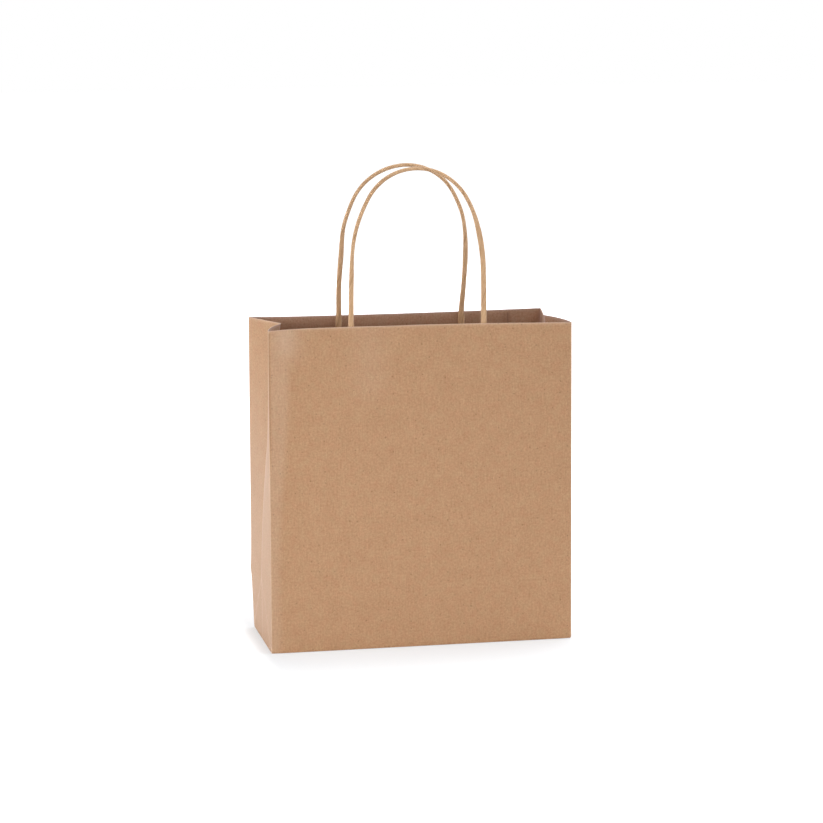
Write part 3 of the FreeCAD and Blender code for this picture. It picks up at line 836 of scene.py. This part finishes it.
def loop_outline(leg_half, straight_up, side_radius, crown_radius):
    """(x, s) along half a loop, from the rim's height to the crown's top."""
    across = side_radius - leg_half
    rise = math.sqrt((side_radius - crown_radius) ** 2 - across**2)
    turn = math.atan2(rise, across)
    leg = np.arange(0, straight_up, CORD_STEP)
    legs = np.column_stack([np.full(len(leg), leg_half), leg])
    sweep = np.arange(0, turn, CORD_STEP / side_radius)
    side = np.column_stack([
        side_radius * np.cos(sweep) - across,
        straight_up + side_radius * np.sin(sweep),
    ])
    sweep = np.linspace(turn, math.pi / 2, round((math.pi / 2 - turn) * crown_radius / CORD_STEP))
    crown = np.column_stack([
        crown_radius * np.cos(sweep),
        straight_up + rise + crown_radius * np.sin(sweep),
    ])
    return np.vstack([legs, side, crown])


def cord_route(name, side):
    """The cord's centre line from one glued end over the loop to the other."""
    sizes = LOOPS[name]
    left_x, right_x = tail_middle(name, "left"), tail_middle(name, "right")
    middle, leg_half = (left_x + right_x) / 2, (right_x - left_x) / 2
    half = loop_outline(leg_half, sizes["straight"], sizes["side_radius"], sizes["crown_radius"])
    outline = np.vstack([half * (-1, 1), half[-2::-1]])
    lean = math.radians(sizes["lean"])
    sideways = math.tan(math.radians(sizes["sideways"]))
    depth = front_depth if side < 0 else back_depth
    standing = PAPER * 3 + TAIL_THICK + TAIL_GLUE

    def centre_depth(x, z):
        """Where the cord's centre stands, inside the wall, its patch and their glue."""
        return depth(x, z) - side * standing

    root_left = float(centre_depth(left_x, HEIGHT))
    root_right = float(centre_depth(right_x, HEIGHT))
    share = (outline[:, 0] + leg_half) / (2 * leg_half)
    root = root_left + (root_right - root_left) * np.clip(share, 0, 1)
    loop = np.column_stack([
        middle + outline[:, 0] + outline[:, 1] * sideways,
        root - side * outline[:, 1] * math.sin(lean),
        HEIGHT + outline[:, 1] * math.cos(lean),
    ])
    up = np.arange(TAIL_FOOT, HEIGHT - 0.3, CORD_STEP)
    left_tail, right_tail = (
        np.column_stack([np.full(len(up), x), centre_depth(x, up), up]) for x in (left_x, right_x)
    )
    return np.vstack([left_tail, loop, right_tail[::-1]])


def bend_by_hand(route, along, name, seed):
    """Gives a cord's free part its slight waver and the kinks of its legs."""
    free = step(route[:, 2] - HEIGHT, *FREE_RISE)
    route[:, 0] += free * SIDEWAYS_WAVER * np.sin(along / 9.5 + seed) * np.sin(along / 23.0)
    route[:, 1] += free * DEPTH_WAVER * np.sin(along / 13.0 + 2 * seed)
    for end, above, shift, reach in KINKS[name]:
        here = np.sign(route[:, 0]) == end
        route[:, 0] += here * shift * bell(route[:, 2] - HEIGHT - above, reach)


def cord_furrows(line_angle, along, seed):
    """How deep in a furrow each point of the cord lies, from 0 to 1."""
    def furrow_at(place, width):
        apart = np.abs((line_angle - place + math.pi) % (2 * math.pi) - math.pi)
        return bell(apart, width)

    furrow = furrow_at(0.0, FOLD_WIDTHS[0])
    for fold in range(1, FOLDS):
        depth = 0.35 + 0.3 * math.sin(2.4 * fold + seed)
        fades = 0.5 + 0.5 * np.sin(along / 11.0 + 2.1 * fold)[:, None]
        furrow = np.maximum(furrow, depth * fades * furrow_at(2 * math.pi * fold / FOLDS, FOLD_WIDTHS[1]))
    return furrow


def make_cord(name, side, seed):
    """One length of twisted paper: pressed flat where it is glued, round in the loop."""
    route = cord_route(name, side)
    steps = np.linalg.norm(np.diff(route, axis=0), axis=1)
    along = np.concatenate([[0], np.cumsum(steps)])
    bend_by_hand(route, along, name, seed)

    tangent = np.gradient(route, axis=0)
    tangent /= np.linalg.norm(tangent, axis=1, keepdims=True)
    lean = math.radians(LOOPS[name]["lean"])
    facing = np.array([0.0, -math.cos(lean), -side * math.sin(lean)])
    facing = facing - tangent * (tangent @ facing)[:, None]
    facing /= np.linalg.norm(facing, axis=1, keepdims=True)
    across = np.cross(facing, tangent)

    # Each line of the mesh follows the twist, so that a furrow stays on its line.
    line_angle = np.arange(CORD_SIDES) / CORD_SIDES * 2 * math.pi
    twist = along / TWIST_PITCH * 2 * math.pi + 0.5 * np.sin(along / 17.0 + seed)
    angle = line_angle[None, :] + twist[:, None]

    # The oval section, pressed flatter from just above the rim down.
    pressed = 1 - step(route[:, 2] - HEIGHT, *PRESSED_RISE)
    wide = HALF_BROAD + (TAIL_WIDE - HALF_BROAD) * pressed
    thick = HALF_THIN + (TAIL_THICK - HALF_THIN) * pressed
    shares, turns = zip(*LAYS[name])
    laid = np.radians(np.interp(along / along[-1], shares, turns))
    laid = np.convolve(np.pad(laid, LAY_BLUR // 2, "edge"), np.ones(LAY_BLUR) / LAY_BLUR, "valid")
    from_broad = angle - laid[:, None]
    oval = 1 / np.sqrt((np.cos(from_broad) / wide[:, None]) ** 2 + (np.sin(from_broad) / thick[:, None]) ** 2)
    furrow = cord_furrows(line_angle, along, seed)
    swell = 0.03 * np.sin(along / 8.0 + 3 * seed) * np.sin(along / 21.0)
    radius = oval * (1 + swell[:, None] - FURROW_DEPTH * furrow)
    ring = (
        route[:, None, :]
        + across[:, None, :] * (radius * np.cos(angle))[:, :, None]
        + facing[:, None, :] * (radius * np.sin(angle))[:, :, None]
    )

    # The tube, closed at each end by a fan of triangles.
    rings = len(route)
    first_end = rings * CORD_SIDES
    points = np.vstack([ring.reshape(-1, 3), route[:1], route[-1:]]) / MM
    index = np.arange(first_end).reshape(rings, CORD_SIDES)
    following = np.roll(index, -1, axis=1)
    tube = np.stack([index[:-1], following[:-1], following[1:], index[1:]], -1).reshape(-1, 4).tolist()
    tube += [(a, b, first_end) for a, b in zip(following[0].tolist(), index[0].tolist())]
    tube += [(a, b, first_end + 1) for a, b in zip(index[-1].tolist(), following[-1].tolist())]
    mesh = bpy.data.meshes.new(f"{name}_twisted_cord")
    mesh.from_pydata(points.tolist(), [], tube)
    mesh.polygons.foreach_set("use_smooth", np.ones(len(mesh.polygons), bool))
    lay = np.dstack(np.broadcast_arrays(
        CORD_RADIUS * np.cos(line_angle), CORD_RADIUS * np.sin(line_angle), along[:, None],
    )).reshape(-1, 3)
    lay = np.vstack([lay, (0, 0, 0), (0, 0, along[-1])]) + seed * PATTERN_GAP
    store_on_points(mesh, "lay", "FLOAT_VECTOR", lay)
    store_on_points(mesh, "furrow", "FLOAT", np.append(furrow.ravel(), (0.5, 0.5)))
    mesh.materials.append(cord_paper)
    return place_in_scene(mesh.name, mesh)


# ---------------------------------------------------------------- patches

GLUE = 0.04
PATCH_COLUMNS = 150
PATCH_ROWS = 22
COVER_RISE = 2.75           # how far the cover patch rises over a cord's end
COVER_REACH = 3.7
COVER_SQUARENESS = 2.4
COVER_LIFT = (-9, 1)        # heights past the cord's end between which the rise comes up
COVER_UNEVEN, COVER_WAVE, COVER_PATTERN = 0.12, 9.0, 5.5
CUT_EDGE_PALE = 0.8
CUT_EDGE_REACH = 0.5


def make_patch(name, side, layer, over_cords):
    """A patch glued inside a wall; the cover rises over the two flattened cord ends."""
    low, high = corners_of(f"{name}_patch_{layer}")
    depth = front_depth if side < 0 else back_depth
    course = np.linspace(0, 1, PATCH_COLUMNS)
    x = low[0] + (high[0] - low[0]) * (course if side > 0 else 1 - course)
    z = np.linspace(low[2], high[2], PATCH_ROWS)
    columns, rows = np.meshgrid(x, z)
    stand = PAPER + GLUE + PAPER
    if over_cords:
        stand = stand + GLUE + PAPER
        lifted = step(rows - TAIL_FOOT, *COVER_LIFT)
        for end in ("left", "right"):
            away = np.abs(columns - tail_middle(name, end))
            stand = stand + COVER_RISE * lifted * np.exp(-((away / COVER_REACH) ** COVER_SQUARENESS))
        stand = stand + COVER_UNEVEN * (waves(columns, rows, COVER_WAVE, COVER_PATTERN) + 0.6)
    face = np.dstack([columns, depth(columns, rows) - side * stand, rows])
    places = np.dstack([columns, rows])
    from_end = np.minimum(columns - low[0], high[0] - columns)
    from_edge = np.minimum(from_end, np.minimum(rows - low[2], high[2] - rows))
    wear_and_painted_light = CUT_EDGE_PALE * np.exp(-from_edge / CUT_EDGE_REACH)
    return add_sheet(f"{name}_handle_patch_{layer}", face, places, wear_and_painted_light, wear_and_painted_light)


# ---------------------------------------------------------------- the bag

shell = make_shell()
shell.data.materials.append(kraft)
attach(shell, "bag")
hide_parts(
    "front_panel", "back_panel", "seam_flap",
    "left_gusset_front", "left_gusset_back", "left_gusset_foot",
    "right_gusset_front", "right_gusset_back", "right_gusset_foot",
)

for flap in ("front_bottom_flap", "back_bottom_flap", "left_end_flap", "right_end_flap"):
    base = make_base_flap(flap)
    base.data.materials.append(kraft_base)
    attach(base, "bag")
    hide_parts(flap)

for name, side in (("front", -1), ("back", 1)):
    for layer, over_cords in (("base", False), ("cover", True)):
        patch = make_patch(name, side, layer, over_cords)
        patch.data.materials.append(patch_paper)
        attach(patch, "bag")
        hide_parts(f"{name}_patch_{layer}")

for name, side, seed in (("front", -1, 0.4), ("back", 1, 1.9)):
    cord = make_cord(name, side, seed)
    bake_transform(cord)
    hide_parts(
        f"{name}_cord_loop", f"{name}_cord_bend_left", f"{name}_cord_bend_right",
        f"{name}_cord_tail_left", f"{name}_cord_tail_right",
    )


# ---------------------------------------------------------------- studio

WHITE = "#FFFFFF"
TABLE_REACH = 9.0           # metres
TABLE_DROP = -0.0002        # metres: just clear of the bag's foot
WHITE_BY = 0.2              # metres past the bag's foot at which the painted shadow ends and the table is seen white
SOONER_AT_SIDES = 12.0      # it turns white this many times sooner beyond the gussets
# the table's glow at the bag's foot, a painted shadow
PAINTED_SHADOW_UNDER_BAG = 0.52
WORLD_LIGHT = 0.28


def straight_to_eye(tree):
    """1 where the eye sees a surface itself, or in a gloss or through glass; else 0."""
    path = add_node(tree, "ShaderNodeLightPath")
    seen = path.outputs["Is Camera Ray"]
    for ray in ("Is Glossy Ray", "Is Transmission Ray"):
        either = add_node(
            tree, "ShaderNodeMath", {"operation": "MAXIMUM"}, {0: seen, 1: path.outputs[ray]}
        )
        seen = either.outputs[0]
    return seen


def studio_floor():
    """A white table whose seen face glows white, dimmed by a painted shadow round the bag's foot, and still
    takes the bag's soft shadow.
    """
    material, tree = new_material("matt_white_table")
    lit = add_node(tree, "ShaderNodeBsdfDiffuse", {"Color": srgb("#E7E7E7")})
    shadowed = add_node(tree, "ShaderNodeBsdfDiffuse", {"Color": srgb("#B5B8BC")})
    # A painted shadow: the table's glow is dimmest where the bag stands on it. It turns white a hand's
    # breadth in front of the bag, and much nearer beyond the gussets, where the side lamps reach it.
    place = add_node(tree, "ShaderNodeTexCoord").outputs["Object"]
    folded = add_node(tree, "ShaderNodeVectorMath", {"operation": "ABSOLUTE"}, {0: place})
    foot_edge = (-SOONER_AT_SIDES * HALF_WIDTH / MM, -HALF_DEPTH / MM, 0.0)
    past = add_node(
        tree, "ShaderNodeVectorMath",
        {"operation": "MULTIPLY_ADD", 1: (SOONER_AT_SIDES, 1.0, 1.0), 2: foot_edge},
        {0: folded.outputs[0]},
    )
    outside = add_node(
        tree, "ShaderNodeVectorMath", {"operation": "MAXIMUM", 1: (0.0, 0.0, 0.0)}, {0: past.outputs[0]}
    )
    away = add_node(tree, "ShaderNodeVectorMath", {"operation": "LENGTH"}, {0: outside.outputs[0]})
    # The glow's strength, dimmed near the bag's foot as a painted shadow.
    level = add_node(
        tree, "ShaderNodeMapRange",
        {"interpolation_type": "SMOOTHSTEP", "From Max": WHITE_BY, "To Min": PAINTED_SHADOW_UNDER_BAG},
        {"Value": away.outputs["Value"]},
    )
    glow_with_painted_shadow = add_node(
        tree, "ShaderNodeEmission", {"Color": srgb(WHITE)}, {"Strength": level.outputs[0]}
    )
    shown = add_node(tree, "ShaderNodeAddShader", {}, {0: shadowed.outputs[0], 1: glow_with_painted_shadow.outputs[0]})
    surface = add_node(
        tree, "ShaderNodeMixShader", {}, {0: straight_to_eye(tree), 1: lit.outputs[0], 2: shown.outputs[0]}
    )
    add_node(tree, "ShaderNodeOutputMaterial", {}, {"Surface": surface.outputs[0]})
    mesh = bpy.data.meshes.new("table")
    corners = ((-1, -1), (1, -1), (1, 1), (-1, 1))
    mesh.from_pydata([(x * TABLE_REACH, y * TABLE_REACH, TABLE_DROP) for x, y in corners], [], [(0, 1, 2, 3)])
    mesh.materials.append(material)
    place_in_scene("table", mesh)


def studio_world():
    """White all round; what lights the paper is dimmer than what is seen."""
    world = bpy.data.worlds.new("white_studio")
    world.use_nodes = True
    tree = world.node_tree
    tree.nodes.clear()
    level = add_node(
        tree, "ShaderNodeMapRange", {"To Min": WORLD_LIGHT, "To Max": 1.0},
        {"Value": straight_to_eye(tree)},
    )
    sky = add_node(
        tree, "ShaderNodeBackground", {"Color": srgb(WHITE)}, {"Strength": level.outputs[0]}
    )
    add_node(tree, "ShaderNodeOutputWorld", {}, {"Surface": sky.outputs[0]})
    bpy.context.scene.world = world


def soft_box(name, place, target, size, power, spread=180):
    """A wide soft lamp that looks at a point; a grid on it narrows its spread."""
    lamp = bpy.data.lights.new(name, "AREA")
    lamp.shape = "RECTANGLE"
    lamp.size, lamp.size_y = size
    lamp.energy = power
    lamp.spread = math.radians(spread)
    light = place_in_scene(name, lamp)
    light.location = place
    light.rotation_euler = (Vector(target) - Vector(place)).to_track_quat("-Z", "Y").to_euler()


def studio_camera():
    """A long lens a little to the left and above, held almost level."""
    camera = bpy.data.cameras.new("camera")
    camera.sensor_width = 36.0
    camera.lens = 131.2
    turn, rise, roll = (math.radians(a) for a in (-11.94, 8.63, -0.30))
    back = Vector((math.sin(turn) * math.cos(rise), -math.cos(turn) * math.cos(rise), math.sin(rise)))
    right = Vector((math.cos(turn), math.sin(turn), 0))
    up = back.cross(right)
    rolled_right = right * math.cos(roll) + up * math.sin(roll)
    rolled_up = up * math.cos(roll) - right * math.sin(roll)
    axes = Matrix((rolled_right, rolled_up, back)).transposed().to_4x4()
    axes.translation = Vector((-0.4414, -2.0967, 0.4884))
    eye = place_in_scene("camera", camera)
    eye.matrix_world = axes
    bpy.context.scene.camera = eye


studio_floor()
studio_world()
soft_box("front_soft_box", (-0.45, -2.3, 0.38), (-0.45, 0, 0.18), (0.5, 0.36), 0.42, spread=30)
soft_box("low_soft_box", (0.1, -2.3, 0.3), (0.05, 0, -0.15), (0.5, 0.36), 0.22, spread=30)
soft_box("left_soft_box", (-1.9, -0.3, 0.42), (0, 0, 0.12), (1.4, 0.5), 18.5)
soft_box("right_soft_box", (2.9, -2.1, 0.28), (0, 0, 0.12), (1.4, 0.6), 17)
soft_box("back_soft_box", (0.2, 2.4, 0.8), (0, 0, 0.15), (2.4, 1.4), 34)
soft_box("top_soft_box", (0.9, 0.1, 2.0), (0, 0, 0.1), (2.4, 0.9), 34)
studio_camera()
bpy.context.scene.view_settings.view_transform = "Standard"
